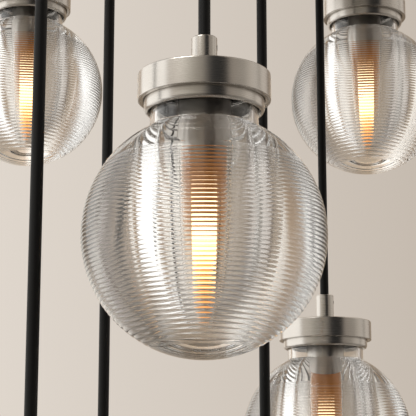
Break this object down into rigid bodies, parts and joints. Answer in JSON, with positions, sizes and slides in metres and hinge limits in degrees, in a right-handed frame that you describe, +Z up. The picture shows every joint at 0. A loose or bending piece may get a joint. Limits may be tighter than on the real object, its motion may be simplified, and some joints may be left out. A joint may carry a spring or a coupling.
{
  "type": "cluster pendant light",
  "caption": "Cluster pendant: ribbed solid clear glass globes with tubular lamps hang at stepped heights on black cords from one round brushed nickel ceiling canopy.",
  "frame": {"origin": "centre of the canopy on the ceiling plane, which is the top face of the ceiling bracket and the rim of the canopy pan", "axes": "+Z up into the ceiling, so the globes hang in -Z; +Y away from the camera of the picture and +X to its right"},
  "size_m": [0.587, 0.587, 0.8625],
  "materials": {
    "nickel": "brushed nickel plate, fine circumferential brushing",
    "globe_glass": "clear solid glass, fine horizontal ribs on the outside",
    "lamp_glass": "clear tube round a warm glowing frosted core",
    "flex": "black woven cover on round flex",
    "rubber_seal": "black rubber",
    "bracket_steel": "zinc plated",
    "wiring_plastic": "white terminal box with black flex tails"
  },
  "bodies": {
    "canopy": {"canopy_pan": "nickel", "ceiling_bracket": "bracket_steel", "wiring_box": "wiring_plastic", "cord_bushings": "nickel"},
    "pendant_1": {"pendant_1_cord": "flex", "pendant_1_cord_grip": "nickel", "pendant_1_cap": "nickel", "pendant_1_gasket": "rubber_seal", "pendant_1_retaining_ring": "nickel", "pendant_1_glass_globe": "globe_glass", "pendant_1_lamp_holder": "nickel", "pendant_1_lamp": "lamp_glass"},
    "pendant_2": {"pendant_2_cord": "flex", "pendant_2_cord_grip": "nickel", "pendant_2_cap": "nickel", "pendant_2_gasket": "rubber_seal", "pendant_2_retaining_ring": "nickel", "pendant_2_glass_globe": "globe_glass", "pendant_2_lamp_holder": "nickel", "pendant_2_lamp": "lamp_glass"},
    "pendant_3": {"pendant_3_cord": "flex", "pendant_3_cord_grip": "nickel", "pendant_3_cap": "nickel", "pendant_3_gasket": "rubber_seal", "pendant_3_retaining_ring": "nickel", "pendant_3_glass_globe": "globe_glass", "pendant_3_lamp_holder": "nickel", "pendant_3_lamp": "lamp_glass"},
    "pendant_4": {"pendant_4_cord": "flex", "pendant_4_cord_grip": "nickel", "pendant_4_cap": "nickel", "pendant_4_gasket": "rubber_seal", "pendant_4_retaining_ring": "nickel", "pendant_4_glass_globe": "globe_glass", "pendant_4_lamp_holder": "nickel", "pendant_4_lamp": "lamp_glass"},
    "pendant_5": {"pendant_5_cord": "flex", "pendant_5_cord_grip": "nickel", "pendant_5_cap": "nickel", "pendant_5_gasket": "rubber_seal", "pendant_5_retaining_ring": "nickel", "pendant_5_glass_globe": "globe_glass", "pendant_5_lamp_holder": "nickel", "pendant_5_lamp": "lamp_glass"},
    "pendant_6": {"pendant_6_cord": "flex", "pendant_6_cord_grip": "nickel", "pendant_6_cap": "nickel", "pendant_6_gasket": "rubber_seal", "pendant_6_retaining_ring": "nickel", "pendant_6_glass_globe": "globe_glass", "pendant_6_lamp_holder": "nickel", "pendant_6_lamp": "lamp_glass"},
    "pendant_7": {"pendant_7_cord": "flex", "pendant_7_cord_grip": "nickel", "pendant_7_cap": "nickel", "pendant_7_gasket": "rubber_seal", "pendant_7_retaining_ring": "nickel", "pendant_7_glass_globe": "globe_glass", "pendant_7_lamp_holder": "nickel", "pendant_7_lamp": "lamp_glass"}
  },
  "joints": [
    {"name": "pendant_1_swing", "type": "hinge", "parent": "canopy", "child": "pendant_1", "pos_m": [0.008, -0.21, -0.054], "axis": [1, 0, 0], "range_deg": [-5, 5]},
    {"name": "pendant_2_swing", "type": "hinge", "parent": "canopy", "child": "pendant_2", "pos_m": [-0.141, 0.217, -0.054], "axis": [1, 0, 0], "range_deg": [-5, 5]},
    {"name": "pendant_3_swing", "type": "hinge", "parent": "canopy", "child": "pendant_3", "pos_m": [0.142, 0.218, -0.054], "axis": [1, 0, 0], "range_deg": [-5, 5]},
    {"name": "pendant_4_swing", "type": "hinge", "parent": "canopy", "child": "pendant_4", "pos_m": [0.098, 0.144, -0.054], "axis": [1, 0, 0], "range_deg": [-4, 4]},
    {"name": "pendant_5_swing", "type": "hinge", "parent": "canopy", "child": "pendant_5", "pos_m": [-0.075, -0.23, -0.054], "axis": [1, 0, 0], "range_deg": [-4, 4]},
    {"name": "pendant_6_swing", "type": "hinge", "parent": "canopy", "child": "pendant_6", "pos_m": [-0.051, -0.085, -0.054], "axis": [1, 0, 0], "range_deg": [-3.5, 3.5]},
    {"name": "pendant_7_swing", "type": "hinge", "parent": "canopy", "child": "pendant_7", "pos_m": [0.044, -0.06, -0.054], "axis": [1, 0, 0], "range_deg": [-4, 4]}
  ]
}
